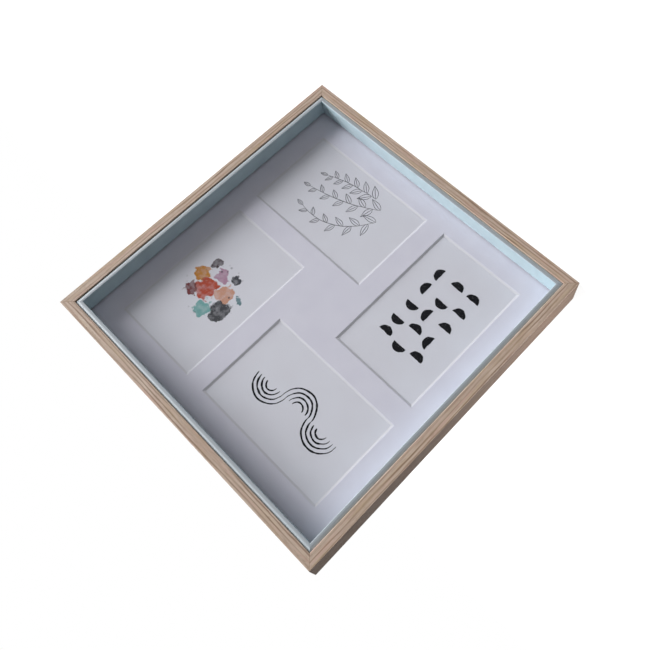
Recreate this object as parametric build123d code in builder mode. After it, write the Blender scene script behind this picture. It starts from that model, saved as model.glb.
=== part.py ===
# A square collage photo frame, deep enough to stand on a shelf: mitred rails with a liner inside them,
# a glass pane, a mat with four windows set as a pinwheel, four prints, a filler board and a back board
# that turn buttons hold in.
# Millimetres, +Z up, the front faces -Y. The origin is the middle of the base.

import os

from build123d import *

# Mat and prints
window_long = 138.0  # clear opening over a print
window_short = 88.0
window_gap = 25.0  # between neighbouring windows
mat_border = 22.5  # liner to window
mat_thickness = 1.2
bevel_run = 2.2  # slope of a window's cut edge, seen from the front
print_overlap = 6.0  # hidden edge of a print behind the mat
print_thickness = 0.3

# Rails and liner
mitre_angle = 45.0
rail_width = 9.5
rail_outer_radius = 0.3  # front edges
rail_inner_radius = 0.6
liner_width = 5.0
liner_depth = 18.0
liner_recess = 0.4  # level part of the liner's front behind the front of the rails
liner_level = 1.6  # width of that level part, beside the mat
liner_fall = 1.4  # drop of the rest of its front towards the rail
liner_edge_radius = 0.5

# Sheets behind the liner
glass_thickness = 1.8
glass_play = 0.3  # pane to mat
filler_thickness = 9.8
backing_thickness = 3.0
backing_setback = 0.2  # back board to the back of the rails
sheet_clearance = 1.0  # edge of a sheet to the rail beside it

# Wedge nails across the mitres
nails_per_corner = 2
nail_leg = 3.5
nail_thickness = 0.5
nail_height = 7.0

# Turn buttons and their screws
button_spacing = 120.0  # between the two buttons of a side
button_overlap = 8.25  # edge of the back board to the middle of a button's tip
button_tip_radius = 3.0
button_edge_margin = 0.75  # side of a button to the edge of its rail when it is turned along it
button_thickness = 1.2
button_play = 0.1  # above and below a button
thumb_lip_thickness = 1.2
thumb_lip_height = 1.4
screw_length = 12.0  # in the rail
screw_point = 2.5
screw_shank_radius = 1.25
screw_head_radius = 2.8
screw_head_height = 1.6
screw_recess_width = 0.7
screw_recess_length = 3.0
screw_recess_depth = 0.9
running_clearance = 0.08  # turning fits
seat_clearance = 0.05  # fixed fits

# Hangers on the back board
hanger_spacing = 160.0
hanger_drop = 55.0  # top of the frame to the axis of the rings
strap_width = 8.0
strap_thickness = 1.0
strap_end_margin = 3.2  # rivet head to the strap's end
strap_end_flat = 2.0  # straight stretch of the rounded end
strap_side_clearance = 0.5  # strap to the bends of its ring
ring_wire_radius = 0.9
ring_corner_radius = 2.5
hook_room = 8.0  # strap's end to the inside of its hanging ring
rivet_gap = 2.2  # strap's knuckle to the rivet head
rivet_head_radius = 2.8
rivet_head_height = 1.2
rivet_shank_radius = 1.5
rivet_flange_radius = 2.6
rivet_flange_height = 0.6

# Bumpers that keep the hangers off the wall
bumper_inset = 16.0  # side of the frame to the middle of a bumper
bumper_edge_margin = 0.75
bumper_edge_radius = 1.0
wall_clearance = 0.6  # hanger to the wall

# Depths behind the front of the rails
glass_front = liner_recess + liner_depth
mat_front = glass_front + glass_thickness + glass_play
print_front = mat_front + mat_thickness
filler_front = print_front + print_thickness
backing_front = filler_front + filler_thickness
backing_back = backing_front + backing_thickness
rail_depth = backing_back + backing_setback

# Outlines
sight_side = 2 * mat_border + window_long + window_gap + window_short
liner_side = sight_side + 2 * liner_width
frame_side = liner_side + 2 * rail_width
sheet_side = liner_side - 2 * sheet_clearance

# Hardware
button_reach = rail_width / 2 + sheet_clearance + button_overlap
button_pivot_radius = rail_width / 2 - button_edge_margin
screw_head_base = button_thickness + 2 * button_play
knuckle_bore_radius = ring_wire_radius + running_clearance
knuckle_radius = knuckle_bore_radius + strap_thickness
rivet_drop = knuckle_radius + rivet_gap + rivet_head_radius
strap_end_radius = (strap_width - strap_end_flat) / 2
strap_length = rivet_drop + rivet_head_radius + strap_end_margin
ring_width = strap_width + 2 * (strap_side_clearance + ring_corner_radius)
ring_length = strap_length + hook_room + ring_wire_radius
bumper_radius = rail_width / 2 - bumper_edge_margin
bumper_thickness = 2 * knuckle_radius - backing_setback + wall_clearance

# Places in the part's own frame
total_depth = rail_depth + bumper_thickness
front_y = -total_depth / 2
middle = Vector(0, front_y, frame_side / 2)
backward = Vector(0, 1, 0)
hanger_axis_y = front_y + backing_back + knuckle_radius
hanger_axis_z = frame_side - hanger_drop

# For each side, seen from the front: the way along it and the way to the frame's middle
sides = {
    "bottom": (Vector(1, 0, 0), Vector(0, 0, 1)),
    "right": (Vector(0, 0, 1), Vector(-1, 0, 0)),
    "top": (Vector(-1, 0, 0), Vector(0, 0, -1)),
    "left": (Vector(0, 0, -1), Vector(1, 0, 0)),
}

os.makedirs("parts", exist_ok=True)


def keep(piece, label):
    piece.part.label = label
    export_step(piece.part, f"parts/{label}.step")


def facing(depth):
    # Plane across the whole frame at a depth, whose Z points to the front
    return Plane(origin=middle + backward * depth, x_dir=(1, 0, 0), z_dir=-backward)


def side_front(side, inset, depth):
    # Plane on one side, inset from the outside: X along it, Y to the middle, Z to the front
    along, inward = sides[side]
    origin = middle + inward * (inset - frame_side / 2) + backward * depth
    return Plane(origin=origin, x_dir=along, z_dir=-backward)


def side_back(side, along_offset):
    # Plane on the back of a rail, half way across it: X to the middle, Z out of the back
    along, inward = sides[side]
    half_way = middle + inward * ((rail_width - frame_side) / 2)
    origin = half_way + along * along_offset + backward * rail_depth
    return Plane(origin=origin, x_dir=inward, z_dir=backward)


def side_section(side, inset, depth):
    # Plane across one side at its middle: X to the frame's middle, Y to the front
    along, inward = sides[side]
    origin = middle + inward * (inset - frame_side / 2) + backward * depth
    return Plane(origin=origin, x_dir=inward, z_dir=along)


# Places of the turn buttons, two on each side
button_names = {
    "bottom": ("bottom_left", "bottom_right"),
    "right": ("right_lower", "right_upper"),
    "top": ("top_right", "top_left"),
    "left": ("left_upper", "left_lower"),
}
button_places = {}
for side, names in button_names.items():
    for name, along_offset in zip(names, (-button_spacing / 2, button_spacing / 2)):
        button_places[name] = side_back(side, along_offset)

# Wedge nails, L-shaped across each mitre and flush with the back of the rails
nail_corner = frame_side / 2
with BuildPart() as corner_v_nails:
    with BuildSketch(facing(rail_depth)):
        with PolarLocations(0, 4):
            for spot in range(1, nails_per_corner + 1):
                vertex = nail_corner - rail_width * spot / (nails_per_corner + 1) + nail_thickness / 2
                with Locations((vertex, vertex)):
                    Rectangle(nail_leg, nail_thickness, align=(Align.MAX, Align.MAX))
                    Rectangle(nail_thickness, nail_leg, align=(Align.MAX, Align.MAX))
    extrude(amount=nail_height)
keep(corner_v_nails, "corner_v_nails")

# Rails, with rounded front edges, slots for the nails and pilot holes for the screws
for side in sides:
    with BuildPart() as rail:
        with BuildSketch(side_section(side, 0, 0)) as section:
            Rectangle(rail_width, rail_depth, align=(Align.MIN, Align.MAX))
            fillet(section.vertices().group_by(Axis.Y)[-1].sort_by(Axis.X)[0], rail_outer_radius)
            fillet(section.vertices().group_by(Axis.Y)[-1].sort_by(Axis.X)[-1], rail_inner_radius)
        extrude(amount=frame_side / 2, both=True)
        with BuildSketch(side_front(side, 0, 0)):
            Trapezoid(frame_side, rail_width, mitre_angle, align=(Align.CENTER, Align.MIN))
        extrude(amount=-rail_depth, mode=Mode.INTERSECT)
        add(corner_v_nails.part, mode=Mode.SUBTRACT)
        with BuildSketch(side_back(side, 0)):
            with GridLocations(0, button_spacing, 1, 2):
                Circle(screw_shank_radius + seat_clearance)
        extrude(amount=-(screw_length + seat_clearance), mode=Mode.SUBTRACT)
    keep(rail, f"rail_{side}")

# Liner strips inside the rails, whose front falls in a curve to the rail
for side in sides:
    with BuildPart() as liner:
        with BuildSketch(side_section(side, rail_width, liner_recess)) as section:
            with BuildLine():
                level = Line((liner_width, 0), (liner_width - liner_level, 0))
                fall = TangentArc(level @ 1, (0, -liner_fall), tangent=level % 1)
                Polyline(fall @ 1, (0, -liner_depth), (liner_width, -liner_depth), level @ 0)
            make_face()
            fillet(section.vertices().group_by(Axis.Y)[-1].sort_by(Axis.X)[-1], liner_edge_radius)
        extrude(amount=liner_side / 2, both=True)
        with BuildSketch(side_front(side, rail_width, liner_recess)):
            Trapezoid(liner_side, liner_width, mitre_angle, align=(Align.CENTER, Align.MIN))
        extrude(amount=-liner_depth, mode=Mode.INTERSECT)
    keep(liner, f"liner_{side}")

# Glass, on the back edge of the liner
with BuildPart() as glass_pane:
    with BuildSketch(facing(mat_front)):
        Rectangle(sheet_side, sheet_side)
    extrude(amount=glass_thickness)
keep(glass_pane, "glass_pane")

# Windows, each against its own corner of the mat: middle across and up, then width and height
near = sight_side / 2 - mat_border
windows = {
    "top_left": (-near + window_long / 2, near - window_short / 2, window_long, window_short),
    "top_right": (near - window_short / 2, near - window_long / 2, window_short, window_long),
    "bottom_right": (near - window_long / 2, -near + window_short / 2, window_long, window_short),
    "bottom_left": (-near + window_short / 2, -near + window_long / 2, window_short, window_long),
}

# Mat, with its windows cut at a slope
with BuildPart() as mat_board:
    with BuildSketch(facing(print_front)):
        Rectangle(sheet_side, sheet_side)
    extrude(amount=mat_thickness)
    for across, up, width, height in windows.values():
        with BuildSketch(facing(print_front)) as window_back:
            with Locations((across, up)):
                Rectangle(width, height)
        with BuildSketch(facing(mat_front)) as window_front:
            with Locations((across, up)):
                Rectangle(width + 2 * bevel_run, height + 2 * bevel_run)
        loft([window_back.sketch, window_front.sketch], mode=Mode.SUBTRACT)
keep(mat_board, "mat_board")

# Prints, one behind each window
for name, (across, up, width, height) in windows.items():
    with BuildPart() as photo_print:
        with BuildSketch(facing(filler_front)):
            with Locations((across, up)):
                Rectangle(width + 2 * print_overlap, height + 2 * print_overlap)
        extrude(amount=print_thickness)
    keep(photo_print, f"print_{name}")

# Filler board, which presses the prints to the mat
with BuildPart() as filler_board:
    with BuildSketch(facing(backing_front)):
        Rectangle(sheet_side, sheet_side)
    extrude(amount=filler_thickness)
keep(filler_board, "filler_board")

# Places on the back board, from its back: X to the right seen from the front, Y up
hanger_up = hanger_axis_z - frame_side / 2
hanger_spots = {"left": -hanger_spacing / 2, "right": hanger_spacing / 2}
rivet_places = [(across, hanger_up - rivet_drop) for across in hanger_spots.values()]

# Back board, with a recessed hole for each rivet
with BuildPart() as backing_board:
    with BuildSketch(facing(backing_back)):
        Rectangle(sheet_side, sheet_side)
    extrude(amount=backing_thickness)
    with BuildSketch(facing(backing_back)):
        with Locations(*rivet_places):
            Circle(rivet_shank_radius + seat_clearance)
    extrude(amount=backing_thickness, mode=Mode.SUBTRACT)
    with BuildSketch(facing(backing_front)):
        with Locations(*rivet_places):
            Circle(rivet_flange_radius + seat_clearance)
    extrude(amount=-rivet_flange_height, mode=Mode.SUBTRACT)
keep(backing_board, "backing_board")

# One turn button about its screw hole: a tapering plate with a thumb lip at its tip
tip_width = 2 * button_tip_radius
with BuildPart() as turn_button:
    with BuildSketch(Plane.XY.offset(button_play)) as button_outline:
        Circle(button_pivot_radius)
        with Locations((button_reach, 0)):
            Circle(button_tip_radius)
        make_hull()
        Circle(screw_shank_radius + running_clearance, mode=Mode.SUBTRACT)
    extrude(amount=button_thickness)
    with BuildSketch(Plane.XY.offset(button_play + button_thickness)):
        with Locations((button_reach, 0)):
            Circle(button_tip_radius)
            Circle(button_tip_radius - thumb_lip_thickness, mode=Mode.SUBTRACT)
            Rectangle(tip_width, tip_width, align=(Align.MAX, Align.CENTER), mode=Mode.SUBTRACT)
    extrude(amount=thumb_lip_height)

for name, place in button_places.items():
    with BuildPart() as placed_button:
        with Locations(place):
            add(turn_button.part)
    keep(placed_button, f"turn_button_{name}")

# One pan-head screw, from the point in the rail to the head over the button
with BuildPart() as button_screw:
    with BuildSketch(Plane.XZ):
        with BuildLine():
            Polyline(
                (0, screw_head_base + screw_head_height),
                (0, -screw_length),
                (screw_shank_radius, -screw_length + screw_point),
                (screw_shank_radius, screw_head_base),
                (screw_head_radius, screw_head_base),
            )
            RadiusArc(
                (screw_head_radius, screw_head_base),
                (0, screw_head_base + screw_head_height),
                -(screw_head_radius**2 + screw_head_height**2) / (2 * screw_head_height),
            )
        make_face()
    revolve(axis=Axis.Z)
    with BuildSketch(Plane.XY.offset(screw_head_base + screw_head_height)):
        Rectangle(screw_recess_length, screw_recess_width)
        Rectangle(screw_recess_width, screw_recess_length)
    extrude(amount=-screw_recess_depth, mode=Mode.SUBTRACT)

with BuildPart() as turn_button_screws:
    with Locations(*button_places.values()):
        add(button_screw.part)
keep(turn_button_screws, "turn_button_screws")

# Hanger straps: a plate on the back board, rolled at its top round the ring
for name, across in hanger_spots.items():
    with BuildPart() as strap:
        plate_y = front_y + backing_back
        with BuildSketch(Plane.YZ.offset(across)):
            with Locations((plate_y, hanger_axis_z)):
                Rectangle(strap_thickness, strap_length, align=(Align.MIN, Align.MAX))
            with Locations((hanger_axis_y, hanger_axis_z)):
                Circle(knuckle_radius)
                Circle(knuckle_bore_radius, mode=Mode.SUBTRACT)
        extrude(amount=strap_width / 2, both=True)
        end_edges = strap.edges().filter_by(Axis.Y).group_by(Axis.Z)[0]
        fillet(end_edges, strap_end_radius)
        with BuildSketch(facing(backing_back)):
            with Locations((across, hanger_up - rivet_drop)):
                Circle(rivet_shank_radius + seat_clearance)
        extrude(amount=-strap_thickness, mode=Mode.SUBTRACT)
    keep(strap, f"hanger_strap_{name}")

# Hanger rings: wire bent to a D, its straight bar in the strap and its bow hanging down
for name, across in hanger_spots.items():
    with BuildPart() as ring:
        ring_plane = facing(backing_back + knuckle_radius)
        bar_left, bar_right = across - ring_width / 2, across + ring_width / 2
        bow_up = hanger_up - ring_length + ring_width / 2
        with BuildLine(ring_plane) as ring_path:
            bends = FilletPolyline(
                (bar_left, bow_up), (bar_left, hanger_up), (bar_right, hanger_up), (bar_right, bow_up),
                radius=ring_corner_radius,
            )
            RadiusArc(bends @ 1, bends @ 0, ring_width / 2)
        with BuildSketch(Plane.YZ.offset(across)):
            with Locations((hanger_axis_y, hanger_axis_z)):
                Circle(ring_wire_radius)
        sweep(path=ring_path.wire())
    keep(ring, f"hanger_ring_{name}")

# Rivets through the straps and the back board
with BuildPart() as rivet:
    with BuildSketch(Plane.XZ):
        with BuildLine():
            Polyline(
                (0, strap_thickness + rivet_head_height),
                (0, -backing_thickness),
                (rivet_flange_radius, -backing_thickness),
                (rivet_flange_radius, -backing_thickness + rivet_flange_height),
                (rivet_shank_radius, -backing_thickness + rivet_flange_height),
                (rivet_shank_radius, strap_thickness),
                (rivet_head_radius, strap_thickness),
            )
            RadiusArc(
                (rivet_head_radius, strap_thickness),
                (0, strap_thickness + rivet_head_height),
                -(rivet_head_radius**2 + rivet_head_height**2) / (2 * rivet_head_height),
            )
        make_face()
    revolve(axis=Axis.Z)

with BuildPart() as hanger_rivets:
    for across, up in rivet_places:
        spot = middle + Vector(across, backing_back, up)
        with Locations(Plane(origin=spot, x_dir=(1, 0, 0), z_dir=backward)):
            add(rivet.part)
keep(hanger_rivets, "hanger_rivets")

# Wall bumpers, on the back of the bottom rail
with BuildPart() as wall_bumpers:
    with BuildSketch(side_back("bottom", 0)):
        with GridLocations(0, frame_side - 2 * bumper_inset, 1, 2):
            Circle(bumper_radius)
    extrude(amount=bumper_thickness)
    fillet(wall_bumpers.faces().group_by(Axis.Y)[-1].edges(), bumper_edge_radius)
keep(wall_bumpers, "wall_bumpers")

print(f"frame {frame_side:.1f} square, {rail_depth:.1f} deep, {total_depth:.2f} with its bumpers")
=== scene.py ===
import math

import bmesh
import bpy
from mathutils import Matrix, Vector


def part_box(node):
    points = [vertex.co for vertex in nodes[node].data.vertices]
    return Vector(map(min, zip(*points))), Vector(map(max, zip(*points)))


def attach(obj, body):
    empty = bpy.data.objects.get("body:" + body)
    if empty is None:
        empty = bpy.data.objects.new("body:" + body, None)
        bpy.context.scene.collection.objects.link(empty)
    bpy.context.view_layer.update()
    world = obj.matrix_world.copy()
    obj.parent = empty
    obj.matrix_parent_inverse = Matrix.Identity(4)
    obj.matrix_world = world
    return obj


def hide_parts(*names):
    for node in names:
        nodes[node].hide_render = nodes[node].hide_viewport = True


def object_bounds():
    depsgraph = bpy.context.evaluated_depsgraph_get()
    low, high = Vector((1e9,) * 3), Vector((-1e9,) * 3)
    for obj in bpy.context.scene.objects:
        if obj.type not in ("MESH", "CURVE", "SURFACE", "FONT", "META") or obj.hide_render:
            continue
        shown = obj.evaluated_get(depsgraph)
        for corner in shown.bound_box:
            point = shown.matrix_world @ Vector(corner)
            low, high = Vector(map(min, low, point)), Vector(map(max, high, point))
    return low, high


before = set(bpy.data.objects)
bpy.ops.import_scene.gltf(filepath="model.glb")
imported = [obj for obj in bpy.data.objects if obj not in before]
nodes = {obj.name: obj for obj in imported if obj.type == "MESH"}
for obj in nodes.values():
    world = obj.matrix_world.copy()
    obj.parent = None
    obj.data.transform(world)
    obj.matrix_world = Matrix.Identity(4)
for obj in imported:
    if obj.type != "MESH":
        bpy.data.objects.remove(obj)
cadLow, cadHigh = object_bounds()
scene = bpy.context.scene
scene.view_settings.view_transform = "Standard"
middle = (0.0, 0.0, (cadLow.z + cadHigh.z) / 2)
halfSide = (cadHigh.x - cadLow.x) / 2
print("loaded", len(nodes), "frame pieces")


def srgb(red, green, blue):  # a picked colour, 0 to 255, as the shaders read it
    parts = [part / 255 for part in (red, green, blue)]
    linear = [part / 12.92 if part <= 0.04045 else ((part + 0.055) / 1.055) ** 2.4 for part in parts]
    return (*linear, 1.0)


def feed(tree, socket, value):
    if isinstance(value, bpy.types.NodeSocket):
        tree.links.new(value, socket)
    else:
        socket.default_value = value


def addNode(tree, kind, inputs=None, **settings):
    made = tree.nodes.new(kind)
    for name, value in settings.items():
        setattr(made, name, value)
    for key, value in (inputs or {}).items():
        feed(tree, made.inputs[key], value)
    return made


def firstOut(tree, kind, inputs=None, **settings):
    return addNode(tree, kind, inputs, **settings).outputs[0]


def maths(tree, operation, first, second=0.0):
    return firstOut(tree, "ShaderNodeMath", {0: first, 1: second}, operation=operation)


def times(tree, first, second):
    return maths(tree, "MULTIPLY", first, second)


def vectorMaths(tree, operation, first, second=(0, 0, 0)):  # DISTANCE and LENGTH give a number
    made = addNode(tree, "ShaderNodeVectorMath", {0: first, 1: second}, operation=operation).outputs
    return made["Value"] if operation in ("DISTANCE", "LENGTH") else made["Vector"]


def vectorOf(tree, first=0.0, second=0.0, third=0.0):
    return firstOut(tree, "ShaderNodeCombineXYZ", {0: first, 1: second, 2: third})


def partsOf(tree, vector):
    return addNode(tree, "ShaderNodeSeparateXYZ", {0: vector}).outputs


def spread(tree, value, low, high, toLow=0.0, toHigh=1.0):
    return firstOut(tree, "ShaderNodeMapRange", {0: value, 1: low, 2: high, 3: toLow, 4: toHigh})


def noiseOf(tree, vector, scale, detail=2.0, roughness=0.5):
    inputs = {"Vector": vector, "Scale": scale, "Detail": detail, "Roughness": roughness}
    return firstOut(tree, "ShaderNodeTexNoise", inputs)


def mixColour(tree, share, first, second, mode="MIX"):
    inputs = {0: share, 6: first, 7: second}
    return addNode(tree, "ShaderNodeMix", inputs, data_type="RGBA", blend_type=mode).outputs[2]


def bumpOf(tree, height, distance, strength, over=None):  # over: a normal other than the surface's own
    made = addNode(tree, "ShaderNodeBump", {"Height": height, "Distance": distance, "Strength": strength})
    if over:
        tree.links.new(over, made.inputs["Normal"])
    return made.outputs[0]


def newMaterial(name):
    material = bpy.data.materials.new(name)
    material.use_nodes = True
    tree = material.node_tree
    coords = addNode(tree, "ShaderNodeTexCoord").outputs
    return material, tree, tree.nodes["Principled BSDF"].inputs, coords


def roughen(tree, shader, noise, polish):  # polish: roughness where the noise is low and where it is high
    feed(tree, shader["Roughness"], spread(tree, noise, 0.3, 0.7, *polish))


def dress(material, *names):
    for name in names:
        for slot in nodes[name].material_slots:
            slot.material = material


def fromMiddle(tree, coords):  # how far across and up or down from the frame's middle
    parts = partsOf(tree, vectorMaths(tree, "SUBTRACT", coords["Object"], middle))
    return maths(tree, "ABSOLUTE", parts["X"]), maths(tree, "ABSOLUTE", parts["Z"])


def mitreLine(tree, coords, width):  # 1 on the joint lines between the sides
    across, upwards = fromMiddle(tree, coords)
    apart = maths(tree, "ABSOLUTE", maths(tree, "SUBTRACT", across, upwards))
    return spread(tree, apart, width * 0.4, width, 1.0, 0.0)


# Camera, where the picture was taken from
camera = {
    "place": (-0.25562, -0.61947, 0.29018),
    "turn": (112.35, 136.147, -3.806),
    "lens": 41.6,
    "shift": (-0.1037, -0.0692),
}
cameraData = bpy.data.cameras.new("camera")
cameraData.lens = camera["lens"]
cameraData.shift_x, cameraData.shift_y = camera["shift"]
cameraObject = bpy.data.objects.new("camera", cameraData)
cameraObject.location = camera["place"]
cameraObject.rotation_euler = [math.radians(angle) for angle in camera["turn"]]
scene.collection.objects.link(cameraObject)
scene.camera = cameraObject
print("camera set")

# Rails: washed oak, the grain along each rail
oak = {
    "pale": srgb(196, 178, 163),
    "body": srgb(164, 142, 125),
    "streak": srgb(112, 84, 62),
    "blush": srgb(182, 146, 132),
    "ochre": srgb(170, 148, 114),
    "outside": (0.45, 0.415, 0.4, 1.0),  # painted shade: the outer faces are tinted darker, as if turned from the light
    "outerBand": (0.004, 0.002),  # from the side, where that painted shade begins and where it is full
    "sheen": (0.5, 0.05),  # on the front and on the outer faces
    "lineSpacing": 0.0026,  # between growth lines
    "lineTilt": math.radians(35),  # so that front and side both cut them
    "lineWaver": {"Distortion": 5.0, "Detail": 3.0, "Detail Scale": 1.4, "Detail Roughness": 0.6},
    "stretch": 13.0,
    "fibre": 900.0,
    "pore": 2400.0,
    "blushShare": 0.6,
    "ochreShare": 0.5,
    "streakShare": 0.85,
    "poreShare": 0.45,
    "edgeWear": 0.35,
    "jointWidth": 0.00035,
    "jointShare": 0.7,
    "polish": (0.62, 0.48),
    "bump": (0.00012, 0.5),  # height and strength, here and below
}


def oakMaterial(name, turn):
    material, tree, shader, coords = newMaterial(name)
    along = firstOut(tree, "ShaderNodeMapping", {"Vector": coords["Object"], "Rotation": (0, turn, 0)})
    tilted = firstOut(tree, "ShaderNodeMapping", {"Vector": along, "Rotation": (oak["lineTilt"], 0, 0)})
    grain = vectorMaths(tree, "MULTIPLY", tilted, (1 / oak["stretch"], 1, 1))
    lines = addNode(
        tree, "ShaderNodeTexWave",
        {"Vector": grain, "Scale": math.pi / 10 / oak["lineSpacing"], **oak["lineWaver"]},
        wave_type="BANDS", bands_direction="Z",
    ).outputs["Fac"]
    fibre = noiseOf(tree, grain, oak["fibre"], 4.0, 0.65)
    bands = noiseOf(tree, grain, oak["fibre"] / 5)
    blush = noiseOf(tree, grain, oak["fibre"] / 2)
    ochre = noiseOf(tree, grain, oak["fibre"] / 2.7)
    pores = spread(tree, noiseOf(tree, grain, oak["pore"], 1.0), 0.60, 0.72)
    tone = maths(tree, "ADD", times(tree, fibre, 0.55), times(tree, bands, 0.45))
    colour = mixColour(tree, spread(tree, tone, 0.36, 0.64), oak["body"], oak["pale"])
    colour = mixColour(tree, spread(tree, blush, 0.5, 0.7, 0.0, oak["blushShare"]), colour, oak["blush"])
    colour = mixColour(tree, spread(tree, ochre, 0.5, 0.7, 0.0, oak["ochreShare"]), colour, oak["ochre"])
    streaks = times(tree, spread(tree, lines, 0.5, 1.0), spread(tree, bands, 0.36, 0.6))
    colour = mixColour(tree, times(tree, streaks, oak["streakShare"]), colour, oak["streak"])
    colour = mixColour(tree, times(tree, pores, oak["poreShare"]), colour, oak["streak"])
    facing = maths(tree, "ABSOLUTE", partsOf(tree, coords["Normal"])["Y"])
    fromEdge = maths(tree, "ABSOLUTE", maths(tree, "SUBTRACT", facing, 0.6))
    colour = mixColour(tree, spread(tree, fromEdge, 0.1, 0.4, oak["edgeWear"], 0.0), colour, oak["pale"])
    outermost = maths(tree, "MAXIMUM", *fromMiddle(tree, coords))
    atEdge = spread(tree, outermost, *[halfSide - inset for inset in oak["outerBand"]])
    outside = times(tree, atEdge, spread(tree, facing, 0.5, 0.1))
    # painted shade: the outer faces are tinted darker
    colour = mixColour(tree, outside, colour, oak["outside"], "MULTIPLY")
    feed(tree, shader["Specular IOR Level"], spread(tree, outside, 0.0, 1.0, *oak["sheen"]))
    joint = mitreLine(tree, coords, oak["jointWidth"])
    colour = mixColour(tree, times(tree, joint, oak["jointShare"]), colour, oak["streak"])
    feed(tree, shader["Base Color"], colour)
    roughen(tree, shader, fibre, oak["polish"])
    height = maths(tree, "SUBTRACT", fibre, maths(tree, "ADD", pores, joint))
    feed(tree, shader["Normal"], bumpOf(tree, height, *oak["bump"]))
    return material


dress(oakMaterial("oakAcross", 0.0), "rail_top", "rail_bottom")
dress(oakMaterial("oakUpright", math.pi / 2), "rail_left", "rail_right")
print("oak rails dressed")

# Liner: pale blue paint
liner = {
    "paint": srgb(161, 179, 187),
    "thin": srgb(169, 188, 195),  # where the brush left less
    "slope": srgb(186, 196, 202),  # painted highlight: lighter where its front falls to the rail
    "front": srgb(155, 162, 168),  # painted shade: its level front is darkened
    "joint": srgb(96, 112, 120),
    "jointWidth": 0.0003,
    "jointShare": 0.6,
    "cloud": 60.0,
    "grain": 1400.0,
    "polish": (0.34, 0.46),
    "bump": (0.00004, 0.4),
}
material, tree, shader, coords = newMaterial("linerPaint")
cloud = noiseOf(tree, coords["Object"], liner["cloud"], 3.0)
peel = noiseOf(tree, coords["Object"], liner["grain"])
colour = mixColour(tree, spread(tree, cloud, 0.35, 0.7), liner["paint"], liner["thin"])
facing = partsOf(tree, coords["Normal"])["Y"]
# painted highlight on the slope of the front
colour = mixColour(tree, spread(tree, facing, -0.4, -0.7), colour, liner["slope"])
# painted shade on the level front
colour = mixColour(tree, spread(tree, facing, -0.92, -0.99), colour, liner["front"])
joint = mitreLine(tree, coords, liner["jointWidth"])
colour = mixColour(tree, times(tree, joint, liner["jointShare"]), colour, liner["joint"])
feed(tree, shader["Base Color"], colour)
roughen(tree, shader, cloud, liner["polish"])
feed(tree, shader["Normal"], bumpOf(tree, maths(tree, "SUBTRACT", peel, joint), *liner["bump"]))
dress(material, "liner_top", "liner_bottom", "liner_left", "liner_right")
print("liner painted")

# Glass: a clear pane with ground edges, faintly smudged. It is thinner than its solid, because rays
# that pass its back miss some of the mat when the two nearly touch.
glass = {
    "tint": (0.992, 0.998, 0.996, 1.0),
    "shine": (0.001, 0.5),  # mirrored share, seen square on and edge on
    "shineFalloff": 5.0,
    "smudge": 26.0,
    "gloss": (0.015, 0.06),
    "thickness": 0.001,
    "groundEdge": 0.0003,
}
material, tree, shader, coords = newMaterial("clearPane")
smudge = noiseOf(tree, coords["Object"], glass["smudge"], 3.0)
through = firstOut(tree, "ShaderNodeBsdfTransparent", {"Color": glass["tint"]})
gloss = spread(tree, smudge, 0.35, 0.75, *glass["gloss"])
mirror = firstOut(tree, "ShaderNodeBsdfGlossy", {"Roughness": gloss})
edgeOn = addNode(tree, "ShaderNodeLayerWeight", {"Blend": 0.5}).outputs["Facing"]
share = spread(tree, maths(tree, "POWER", edgeOn, glass["shineFalloff"]), 0.0, 1.0, *glass["shine"])
clear = firstOut(tree, "ShaderNodeMixShader", {0: share, 1: through, 2: mirror})
feed(tree, tree.nodes["Material Output"].inputs["Surface"], clear)
paneLow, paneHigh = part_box("glass_pane")
paneHigh.y = paneLow.y + glass["thickness"]
shape = bmesh.new()
bmesh.ops.create_cube(shape, size=1.0)
bmesh.ops.scale(shape, vec=paneHigh - paneLow, verts=shape.verts)
bmesh.ops.translate(shape, vec=(paneLow + paneHigh) / 2, verts=shape.verts)
bmesh.ops.bevel(shape, geom=shape.edges[:], offset=glass["groundEdge"], segments=1, affect="EDGES")
paneMesh = bpy.data.meshes.new("pane")
shape.to_mesh(paneMesh)
shape.free()
paneMesh.materials.append(material)
pane = bpy.data.objects.new("pane", paneMesh)
scene.collection.objects.link(pane)
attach(pane, "frame")
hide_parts("glass_pane")

# Mat: paper face over a white core, which shows in the windows' bevels
mat = {
    "face": srgb(214, 211, 224),
    "shade": srgb(209, 206, 220),
    "core": srgb(207, 205, 213),
    "facing": 0.00018,  # thickness of the paper face
    "softness": 0.8,  # how far light wraps round the cut edges
    "cloud": 45.0,
    "tooth": 1800.0,
    "polish": (0.78, 0.9),
    "bump": (0.00003, 0.35),
}
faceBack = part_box("mat_board")[0].y + mat["facing"]
material, tree, shader, coords = newMaterial("matBoard")
cloud = noiseOf(tree, coords["Object"], mat["cloud"], 4.0)
tooth = noiseOf(tree, coords["Object"], mat["tooth"], 3.0, 0.6)
depth = partsOf(tree, coords["Object"])["Y"]
inCore = spread(tree, depth, faceBack, faceBack + 0.5 * mat["facing"])
face = mixColour(tree, spread(tree, cloud, 0.3, 0.7), mat["shade"], mat["face"])
feed(tree, shader["Base Color"], mixColour(tree, inCore, face, mat["core"]))
roughen(tree, shader, tooth, mat["polish"])
outward = addNode(tree, "ShaderNodeNewGeometry").outputs["True Normal"]
facing = partsOf(tree, outward)["Y"]
forward = vectorOf(tree, 0.0, spread(tree, facing, 0.0, -0.5, 0.0, -mat["softness"]))
soft = vectorMaths(tree, "NORMALIZE", vectorMaths(tree, "ADD", outward, forward))
feed(tree, shader["Normal"], bumpOf(tree, tooth, *mat["bump"], soft))
dress(material, "mat_board")
print("glass and mat dressed")

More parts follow.
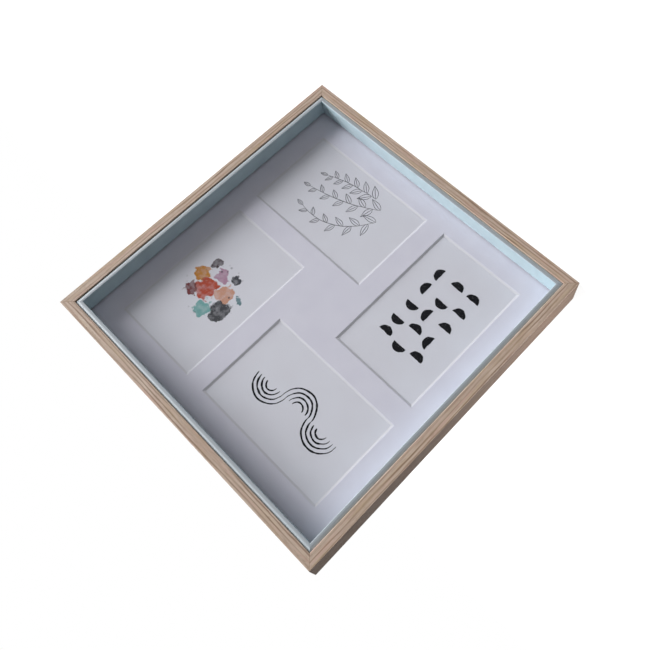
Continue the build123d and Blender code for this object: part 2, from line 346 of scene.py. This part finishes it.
# Prints: smooth art paper, a loose drift of washes on one of them
paper = {
    "white": srgb(212, 211, 221),
    "warm": srgb(209, 207, 217),
    "cloud": 30.0,
    "tooth": 2600.0,
    "polish": (0.55, 0.7),
    "bump": (0.000012, 0.3),
}
washed = {
    "pools": [  # middle across and up from the window's, radius, colour, strength
        (-0.020, 0.012, 0.0100, srgb(26, 28, 38), 1.0),
        (-0.006, 0.021, 0.0085, srgb(92, 176, 166), 0.9),
        (-0.011, -0.002, 0.0090, srgb(224, 152, 108), 0.9),
        (0.006, 0.006, 0.0110, srgb(196, 66, 26), 1.0),
        (0.017, 0.014, 0.0075, srgb(112, 16, 28), 1.0),
        (0.021, -0.003, 0.0085, srgb(214, 138, 20), 1.0),
        (0.004, -0.013, 0.0070, srgb(190, 132, 160), 0.9),
        (-0.009, -0.019, 0.0055, srgb(26, 30, 44), 1.0),
        (0.018, -0.018, 0.0060, srgb(50, 16, 32), 1.0),
        (-0.026, -0.007, 0.0042, srgb(60, 120, 124), 0.9),
    ],
    "runs": 150.0,
    "drift": 0.015,
    "mottle": 130.0,
    "thinnest": 0.75,  # load of pigment where it pools least
    "rim": 0.75,
    "spatterCell": 0.0042,
    "spatterLargest": 0.0013,
    "spatterReach": 0.034,
    "spatterPigment": srgb(40, 36, 48),
    "spatterShare": 0.9,
}


def paperMaterial(name):
    material, tree, shader, coords = newMaterial(name)
    cloud = noiseOf(tree, coords["Object"], paper["cloud"], 3.0)
    tooth = noiseOf(tree, coords["Object"], paper["tooth"])
    colour = mixColour(tree, spread(tree, cloud, 0.35, 0.65), paper["warm"], paper["white"])
    feed(tree, shader["Base Color"], colour)
    roughen(tree, shader, tooth, paper["polish"])
    feed(tree, shader["Normal"], bumpOf(tree, tooth, *paper["bump"]))
    return material, tree, shader, coords, colour


def onPrint(name):  # middle of a print's face
    low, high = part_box(name)
    return ((low.x + high.x) / 2, low.y, (low.z + high.z) / 2)


dress(paperMaterial("artPaper")[0], "print_top_left", "print_bottom_right", "print_bottom_left")

material, tree, shader, coords, colour = paperMaterial("washedPaper")
local = vectorMaths(tree, "SUBTRACT", coords["Object"], onPrint("print_top_right"))
flat = vectorMaths(tree, "MULTIPLY", local, (1, 0, 1))
runs = addNode(
    tree, "ShaderNodeTexNoise", {"Vector": flat, "Scale": washed["runs"], "Detail": 4.0}
).outputs["Color"]
centredRuns = vectorMaths(tree, "SUBTRACT", runs, (0.5, 0.5, 0.5))
drift = vectorMaths(tree, "MULTIPLY", centredRuns, (washed["drift"], 0, washed["drift"]))
bled = vectorMaths(tree, "ADD", flat, drift)
mottle = noiseOf(tree, flat, washed["mottle"], 4.0, 0.55)
pooling = spread(tree, mottle, 0.38, 0.54, washed["thinnest"], 1.0)
for across, up, radius, pigment, strength in washed["pools"]:
    reach = vectorMaths(tree, "DISTANCE", bled, (across, 0, up))
    inside = spread(tree, reach, radius, radius * 0.88)
    rim = spread(tree, reach, radius * 0.75, radius * 0.95)
    load = times(tree, inside, maths(tree, "MAXIMUM", pooling, times(tree, rim, washed["rim"])))
    colour = mixColour(tree, times(tree, load, strength), colour, pigment, "MULTIPLY")
cells = addNode(tree, "ShaderNodeTexVoronoi", {"Vector": flat, "Scale": 1 / washed["spatterCell"]}).outputs
chance = firstOut(tree, "ShaderNodeSeparateColor", {0: cells["Color"]})
dot = times(tree, maths(tree, "POWER", chance, 3.0), washed["spatterLargest"] / washed["spatterCell"])
near = vectorMaths(tree, "LENGTH", flat)
thrown = spread(tree, near, washed["spatterReach"], washed["spatterReach"] * 0.4)
dotted = times(tree, maths(tree, "LESS_THAN", cells["Distance"], dot), thrown)
colour = mixColour(tree, times(tree, dotted, washed["spatterShare"]), colour, washed["spatterPigment"])
feed(tree, shader["Base Color"], colour)
dress(material, "print_top_right")
print("prints dressed")

# Ink: drawn shapes, a thin film on the paper
ink = {
    "black": srgb(13, 13, 18),
    "dry": srgb(30, 30, 36),
    "pencil": srgb(36, 36, 46),
    "faint": srgb(84, 86, 96),
    "bristle": 1500.0,
    "polish": (0.6, 0.8),
    "sheen": 0.1,
    "film": 0.00006,
    "tipCorners": 8,
}


def inkMaterial(name, wet, dry):
    material, tree, shader, coords = newMaterial(name)
    bristle = noiseOf(tree, coords["Object"], ink["bristle"], 3.0)
    feed(tree, shader["Base Color"], mixColour(tree, spread(tree, bristle, 0.45, 0.75), wet, dry))
    roughen(tree, shader, bristle, ink["polish"])
    shader["Specular IOR Level"].default_value = ink["sheen"]
    return material


brushInk = inkMaterial("brushInk", ink["black"], ink["dry"])
pencilInk = inkMaterial("pencilInk", ink["pencil"], ink["faint"])


def inkTree(name, sizes):  # a geometry tree with a named input for each size
    tree = bpy.data.node_groups.new(name, "GeometryNodeTree")
    labels = {"Geometry": "Geometry", **sizes, "Film": "Float", "Place": "Vector", "Material": "Material"}
    for label, kind in labels.items():
        tree.interface.new_socket(label, in_out="INPUT", socket_type="NodeSocket" + kind)
    tree.interface.new_socket("Geometry", in_out="OUTPUT", socket_type="NodeSocketGeometry")
    return tree, addNode(tree, "NodeGroupInput").outputs


def realized(tree, geometry):
    return firstOut(tree, "GeometryNodeRealizeInstances", {0: geometry})


def resampled(tree, curve, count):
    return firstOut(tree, "GeometryNodeResampleCurve", {"Curve": curve, "Count": count})


def turnedBy(tree, angle):  # about the drawing's own upright axis
    return firstOut(tree, "FunctionNodeEulerToRotation", {0: vectorOf(tree, 0.0, 0.0, angle)})


def instances(tree, points, piece, **more):
    return firstOut(tree, "GeometryNodeInstanceOnPoints", {"Points": points, "Instance": piece, **more})


def humpOf(tree, along):  # 0 at a stroke's ends and 1 at its middle
    return maths(tree, "SINE", times(tree, along, math.pi))


def layInk(tree, given, flatShape):  # stands the flat drawing up on its print
    upright = firstOut(
        tree, "GeometryNodeTransform",
        {"Geometry": flatShape, "Translation": given["Place"], "Rotation": (math.pi / 2, 0, 0)},
    )
    inputs = {"Geometry": realized(tree, upright), "Material": given["Material"]}
    inked = firstOut(tree, "GeometryNodeSetMaterial", inputs)
    feed(tree, addNode(tree, "NodeGroupOutput").inputs[0], inked)


def strokes(tree, given, curves, width):  # curves as flat strokes of a pen or brush
    tipSize = {"Resolution": ink["tipCorners"], "Radius": times(tree, width, 0.5)}
    tip = firstOut(tree, "GeometryNodeCurvePrimitiveCircle", tipSize)
    pressure = firstOut(tree, "GeometryNodeInputRadius")
    tube = firstOut(
        tree, "GeometryNodeCurveToMesh",
        {"Curve": curves, "Profile Curve": tip, "Scale": pressure, "Fill Caps": True},
    )
    thin = vectorOf(tree, 1.0, 1.0, maths(tree, "DIVIDE", given["Film"], width))
    return firstOut(tree, "GeometryNodeTransform", {"Geometry": tube, "Scale": thin})


def wobble(tree, shape, scale, amount, seed):  # a hand's small unsteadiness
    position = firstOut(tree, "GeometryNodeInputPosition")
    shake = addNode(
        tree, "ShaderNodeTexNoise", {"Vector": position, "W": seed, "Scale": scale, "Detail": 1.0},
        noise_dimensions="4D",
    ).outputs["Color"]
    centred = vectorMaths(tree, "SUBTRACT", shake, (0.5, 0.5, 0.5))
    offset = vectorMaths(tree, "MULTIPLY", centred, (amount, amount, 0))
    return firstOut(tree, "GeometryNodeSetPosition", {"Geometry": shape, "Offset": offset})


def drawn(name, start, tree, values):
    sketch = bpy.data.objects.new(name + "Sketch", start)
    scene.collection.objects.link(sketch)
    modifier = sketch.modifiers.new(name, "NODES")
    modifier.node_group = tree
    for socket in tree.interface.items_tree:
        if socket.in_out == "INPUT" and socket.name in values:
            modifier[socket.identifier] = values[socket.name]
    depsgraph = bpy.context.evaluated_depsgraph_get()
    mesh = bpy.data.meshes.new_from_object(sketch.evaluated_get(depsgraph))
    bpy.data.objects.remove(sketch)
    piece = bpy.data.objects.new(name, mesh)
    scene.collection.objects.link(piece)
    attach(piece, "frame")


# Sprigs: pencil stems with open leaves, on the lower right print
sprigs = {
    "Leaves": 11,
    "Leaf Length": 0.0135,
    "Leaf Width": 0.0052,
    "Leaf Angle": math.radians(48),
    "Pen Width": 0.0005,
    "Film": ink["film"],
    "Place": onPrint("print_bottom_right"),
    "Material": pencilInk,
    "stems": [  # root, pull and tip of each stem, from the print's middle
        ((-0.036, -0.012), (-0.012, 0.030), (0.030, 0.022)),
        ((-0.030, -0.024), (0.000, -0.004), (0.040, 0.002)),
        ((-0.018, -0.030), (0.012, -0.028), (0.036, -0.018)),
    ],
    "leafScale": (1.1, 0.6),  # at a stem's root and at its tip
    "vein": 0.06,  # how far a leaf's middle line bends to one side
    "pressure": (0.6, 1.1),  # at a line's ends and at its middle
    "shake": (160.0, 0.0012, 3.0),  # the hand's: scale, amount and seed, here and below
}
tree, given = inkTree("sprigLines", {
    "Leaves": "Int", "Leaf Length": "Float", "Leaf Width": "Float", "Leaf Angle": "Float",
    "Pen Width": "Float",
})
spine = firstOut(tree, "GeometryNodeCurvePrimitiveLine", {"End": vectorOf(tree, given["Leaf Length"])})
fine = resampled(tree, spine, 20)
along = addNode(tree, "GeometryNodeSplineParameter").outputs["Factor"]
belly = humpOf(tree, maths(tree, "POWER", along, 0.75))
halfWidth = times(tree, times(tree, belly, given["Leaf Width"]), 0.5)
leaf = addNode(tree, "GeometryNodeJoinGeometry")
for bulge in (1.0, -1.0, sprigs["vein"]):
    offset = vectorOf(tree, 0.0, times(tree, halfWidth, bulge))
    edge = firstOut(tree, "GeometryNodeSetPosition", {"Geometry": fine, "Offset": offset})
    tree.links.new(edge, leaf.inputs[0])
buds = addNode(
    tree, "GeometryNodeCurveToPoints", {"Curve": given["Geometry"], "Count": given["Leaves"]}
).outputs
index = firstOut(tree, "GeometryNodeInputIndex")
place = maths(tree, "MODULO", index, given["Leaves"])
last = maths(tree, "SUBTRACT", given["Leaves"], 1.0)
climb = maths(tree, "DIVIDE", place, last)
side = maths(tree, "SUBTRACT", times(tree, maths(tree, "MODULO", place, 2.0), 2.0), 1.0)
opening = times(tree, maths(tree, "LESS_THAN", place, last), given["Leaf Angle"])
ahead = firstOut(
    tree, "FunctionNodeAlignRotationToVector", {"Vector": buds["Tangent"]}, axis="X", pivot_axis="Z"
)
lean = turnedBy(tree, times(tree, side, opening))
turned = firstOut(tree, "FunctionNodeRotateRotation", {0: ahead, 1: lean}, rotation_space="LOCAL")
leafScale = spread(tree, climb, 0.0, 1.0, *sprigs["leafScale"])
leaves = instances(tree, buds["Points"], leaf.outputs[0], Rotation=turned, Scale=leafScale)
lines = addNode(tree, "GeometryNodeJoinGeometry")
tree.links.new(realized(tree, leaves), lines.inputs[0])
tree.links.new(resampled(tree, given["Geometry"], 60), lines.inputs[0])
pressure = spread(tree, humpOf(tree, along), 0.0, 1.0, *sprigs["pressure"])
pressed = firstOut(tree, "GeometryNodeSetCurveRadius", {"Curve": lines.outputs[0], "Radius": pressure})
layInk(tree, given, strokes(tree, given, wobble(tree, pressed, *sprigs["shake"]), given["Pen Width"]))
stemCurve = bpy.data.curves.new("stems", "CURVE")
stemCurve.dimensions = "3D"
for bends in sprigs["stems"]:
    spline = stemCurve.splines.new("NURBS")
    spline.points.add(len(bends) - 1)
    for point, (across, up) in zip(spline.points, bends):
        point.co = (across, up, 0.0, 1.0)
    spline.order_u = 3
    spline.use_endpoint_u = True
drawn("ink_sprigs", stemCurve, tree, sprigs)

# Arches: nested brush arcs, alternately up and down, on the upper left print
arches = {
    "Groups": 3,
    "Group Step": 0.031,
    "Rings": 4,
    "Outer Radius": 0.0175,
    "Ring Gap": 0.0040,
    "Brush Width": 0.0017,
    "Film": ink["film"],
    "Place": onPrint("print_top_left"),
    "Material": brushInk,
    "pressure": (0.35, 1.0),
    "grip": 240.0,  # scale of the brush's drag on the paper, and what it does to the width
    "gripRange": (0.7, 1.2),
    "shake": (90.0, 0.0022, 5.0),
}
tree, given = inkTree("archStrokes", {
    "Groups": "Int", "Group Step": "Float", "Rings": "Int", "Outer Radius": "Float", "Ring Gap": "Float",
    "Brush Width": "Float",
})
index = firstOut(tree, "GeometryNodeInputIndex")
arc = firstOut(tree, "GeometryNodeCurveArc", {"Resolution": 48, "Radius": 1.0, "Sweep Angle": math.pi})
ringSpots = firstOut(tree, "GeometryNodePoints", {"Count": given["Rings"]})
radius = maths(tree, "SUBTRACT", given["Outer Radius"], times(tree, index, given["Ring Gap"]))
rings = instances(tree, ringSpots, arc, Scale=radius)
step = vectorOf(tree, given["Group Step"])
row = firstOut(tree, "GeometryNodeMeshLine", {"Count": given["Groups"], "Offset": step})
flip = turnedBy(tree, times(tree, maths(tree, "MODULO", index, 2.0), math.pi))
groups = instances(tree, row, rings, Rotation=flip)
rowLength = times(tree, maths(tree, "SUBTRACT", given["Groups"], 1.0), given["Group Step"])
toMiddle = vectorOf(tree, times(tree, rowLength, -0.5))
centred = firstOut(tree, "GeometryNodeTransform", {"Geometry": groups, "Translation": toMiddle})
curves = realized(tree, centred)
along = addNode(tree, "GeometryNodeSplineParameter").outputs["Factor"]
press = spread(tree, humpOf(tree, maths(tree, "POWER", along, 0.6)), 0.0, 0.8, *arches["pressure"])
grip = noiseOf(tree, firstOut(tree, "GeometryNodeInputPosition"), arches["grip"])
pressure = times(tree, press, spread(tree, grip, 0.3, 0.7, *arches["gripRange"]))
pressed = firstOut(tree, "GeometryNodeSetCurveRadius", {"Curve": curves, "Radius": pressure})
layInk(tree, given, strokes(tree, given, wobble(tree, pressed, *arches["shake"]), given["Brush Width"]))
drawn("ink_arches", bpy.data.meshes.new("archSheet"), tree, arches)

# Half moons: bold cut shapes in rows, on the lower left print
moons = {
    "Columns": 3,
    "Rows": 5,
    "Step": 0.0185,
    "Radius": 0.0068,
    "Seed": 4,
    "Film": ink["film"],
    "Place": onPrint("print_bottom_left"),
    "Material": brushInk,
    "shake": (260.0, 0.0016, 2.0),
}
tree, given = inkTree("moonPrint", {
    "Columns": "Int", "Rows": "Int", "Step": "Float", "Radius": "Float", "Seed": "Int",
})
wide = times(tree, maths(tree, "SUBTRACT", given["Columns"], 1.0), given["Step"])
tall = times(tree, maths(tree, "SUBTRACT", given["Rows"], 1.0), given["Step"])
grid = firstOut(
    tree, "GeometryNodeMeshGrid",
    {"Size X": wide, "Size Y": tall, "Vertices X": given["Columns"], "Vertices Y": given["Rows"]},
)
halfRound = {"Resolution": 32, "Radius": given["Radius"], "Sweep Angle": math.pi}
outline = firstOut(tree, "GeometryNodeCurveArc", halfRound)
closed = firstOut(tree, "GeometryNodeSetSplineCyclic", {"Geometry": outline, "Cyclic": True})
moon = resampled(tree, closed, 56)
quarters = addNode(
    tree, "FunctionNodeRandomValue", {4: 0, 5: 3, "Seed": given["Seed"]}, data_type="INT"
).outputs[2]
tiles = instances(tree, grid, moon, Rotation=turnedBy(tree, times(tree, quarters, math.pi / 2)))
cut = wobble(tree, realized(tree, tiles), *moons["shake"])
filled = firstOut(tree, "GeometryNodeFillCurve", {0: cut})
raised = firstOut(
    tree, "GeometryNodeExtrudeMesh", {"Mesh": filled, "Offset Scale": given["Film"], "Individual": False}
)
layInk(tree, given, raised)
drawn("ink_moons", bpy.data.meshes.new("moonSheet"), tree, moons)
print("prints inked")

# Filler: corrugated board
filler = {
    "kraft": srgb(176, 140, 98),
    "flute": srgb(150, 115, 78),
    "spacing": 0.0065,
    "waver": 0.4,
    "fibre": 500.0,
    "polish": (0.8, 0.95),
    "bump": (0.0003, 0.3),
}
material, tree, shader, coords = newMaterial("corrugatedBoard")
fluteScale = math.pi / 10 / filler["spacing"]
flutes = addNode(
    tree, "ShaderNodeTexWave",
    {"Vector": coords["Object"], "Scale": fluteScale, "Distortion": filler["waver"]},
    bands_direction="X",
).outputs["Fac"]
fibre = noiseOf(tree, coords["Object"], filler["fibre"], 4.0, 0.7)
colour = mixColour(tree, times(tree, flutes, fibre), filler["kraft"], filler["flute"])
feed(tree, shader["Base Color"], colour)
roughen(tree, shader, fibre, filler["polish"])
feed(tree, shader["Normal"], bumpOf(tree, flutes, *filler["bump"]))
dress(material, "filler_board")

# Back board: brown fibreboard, pressed smooth
backing = {
    "brown": srgb(146, 108, 76),
    "dark": srgb(112, 80, 54),
    "fleck": srgb(178, 142, 106),
    "cloud": 18.0,
    "fibre": 320.0,
    "flecks": 900.0,
    "fleckStretch": (1, 1, 0.35),
    "fleckShare": 0.6,
    "polish": (0.5, 0.72),
    "bump": (0.00006, 0.4),
}
material, tree, shader, coords = newMaterial("fibreboard")
cloud = noiseOf(tree, coords["Object"], backing["cloud"], 4.0)
fibre = noiseOf(tree, coords["Object"], backing["fibre"], 5.0, 0.75)
stretched = vectorMaths(tree, "MULTIPLY", coords["Object"], backing["fleckStretch"])
flecks = spread(tree, noiseOf(tree, stretched, backing["flecks"], 1.0), 0.64, 0.74)
colour = mixColour(tree, spread(tree, cloud, 0.3, 0.7), backing["dark"], backing["brown"])
colour = mixColour(tree, spread(tree, fibre, 0.35, 0.7, 0.0, 0.7), colour, backing["brown"])
colour = mixColour(tree, times(tree, flecks, backing["fleckShare"]), colour, backing["fleck"])
feed(tree, shader["Base Color"], colour)
roughen(tree, shader, fibre, backing["polish"])
feed(tree, shader["Normal"], bumpOf(tree, fibre, *backing["bump"]))
dress(material, "backing_board")
print("boards dressed")

# Hardware: plated steels, each with its own polish
steels = {
    "plate": {
        "bright": srgb(206, 206, 204), "dull": srgb(168, 168, 168), "polish": (0.28, 0.46), "grain": 700.0,
        "pieces": [
            name for name in nodes
            if name.startswith(("turn_button_", "hanger_strap")) and name != "turn_button_screws"
        ],
    },
    "screw": {
        "bright": srgb(214, 206, 184), "dull": srgb(172, 160, 136), "polish": (0.24, 0.42), "grain": 900.0,
        "pieces": ["turn_button_screws"],
    },
    "ring": {
        "bright": srgb(212, 212, 214), "dull": srgb(178, 178, 182), "polish": (0.16, 0.30), "grain": 500.0,
        "pieces": ["hanger_ring_left", "hanger_ring_right"],
    },
    "rivet": {
        "bright": srgb(200, 200, 200), "dull": srgb(158, 158, 160), "polish": (0.26, 0.44), "grain": 900.0,
        "pieces": ["hanger_rivets", "corner_v_nails"],
    },
}
plating = {"brushing": (0.15, 1, 1), "patches": 160.0, "bump": (0.00002, 0.3)}
for name, steel in steels.items():
    material, tree, shader, coords = newMaterial(name + "Steel")
    brushed = vectorMaths(tree, "MULTIPLY", coords["Object"], plating["brushing"])
    scratches = noiseOf(tree, brushed, steel["grain"], 3.0, 0.6)
    patches = noiseOf(tree, coords["Object"], plating["patches"], 3.0)
    colour = mixColour(tree, spread(tree, patches, 0.35, 0.7), steel["bright"], steel["dull"])
    feed(tree, shader["Base Color"], colour)
    shader["Metallic"].default_value = 1.0
    roughen(tree, shader, scratches, steel["polish"])
    feed(tree, shader["Normal"], bumpOf(tree, scratches, *plating["bump"]))
    dress(material, *steel["pieces"])

# Bumpers: dark rubber
rubber = {
    "black": srgb(44, 44, 46),
    "grey": srgb(66, 66, 68),
    "bloom": 600.0,
    "polish": (0.6, 0.8),
    "bump": (0.00005, 0.3),
}
material, tree, shader, coords = newMaterial("bumperRubber")
bloom = noiseOf(tree, coords["Object"], rubber["bloom"], 3.0)
colour = mixColour(tree, spread(tree, bloom, 0.4, 0.75), rubber["black"], rubber["grey"])
feed(tree, shader["Base Color"], colour)
roughen(tree, shader, bloom, rubber["polish"])
feed(tree, shader["Normal"], bumpOf(tree, bloom, *rubber["bump"]))
dress(material, "wall_bumpers")
print("hardware dressed")

# Floor and studio
studio = {
    "floorSize": 8.0,
    "floorGap": 0.0002,  # below the frame's base
    "floorGrey": srgb(129, 129, 129),
    "floorRoughness": 0.9,
    "floorLift": 0.88,  # shown to the camera on top of its own light
    "sky": 0.18,
}
lamps = {
    "keyLamp": {"place": (9.53, -4.06, 6.25), "size": (6.4, 12.0), "power": 3300.0},
    "backLamp": {"place": (0.45, 1.55, 0.95), "size": (1.4, 1.4), "power": 24.0},
    "sideLamp": {"place": (-0.29, 0.0, 0.025), "size": (0.05, 0.05), "power": 0.23},
}


def seenDirectly(tree):  # 1 for camera, glossy and glass rays
    path = addNode(tree, "ShaderNodeLightPath").outputs
    seen = maths(tree, "MAXIMUM", path["Is Camera Ray"], path["Is Glossy Ray"])
    return maths(tree, "MAXIMUM", seen, path["Is Transmission Ray"])


floorMesh = bpy.data.meshes.new("floor")
reach = studio["floorSize"] / 2
floorCorners = [(-reach, -reach, 0), (reach, -reach, 0), (reach, reach, 0), (-reach, reach, 0)]
floorMesh.from_pydata(floorCorners, [], [(0, 1, 2, 3)])
floor = bpy.data.objects.new("floor", floorMesh)
floor.location.z = cadLow.z - studio["floorGap"]
scene.collection.objects.link(floor)
material, tree, shader, coords = newMaterial("floorWhite")
shader["Base Color"].default_value = studio["floorGrey"]
shader["Roughness"].default_value = studio["floorRoughness"]
shader["Specular IOR Level"].default_value = 0.0
shader["Emission Color"].default_value = (1, 1, 1, 1)
feed(tree, shader["Emission Strength"], times(tree, seenDirectly(tree), studio["floorLift"]))
floorMesh.materials.append(material)

world = bpy.data.worlds.new("studio")
world.use_nodes = True
tree = world.node_tree
background = tree.nodes["Background"].inputs
background["Color"].default_value = (1, 1, 1, 1)
feed(tree, background["Strength"], spread(tree, seenDirectly(tree), 0.0, 1.0, studio["sky"], 1.0))
scene.world = world

for name, light in lamps.items():
    lamp = bpy.data.lights.new(name, "AREA")
    lamp.shape = "RECTANGLE"
    lamp.size, lamp.size_y = light["size"]
    lamp.energy = light["power"]
    holder = bpy.data.objects.new(name, lamp)
    holder.location = light["place"]
    away = Vector(light["place"]) - Vector(middle)
    holder.rotation_euler = away.to_track_quat("Z", "Y").to_euler()  # it shines along its -Z
    scene.collection.objects.link(holder)
print("studio lit")
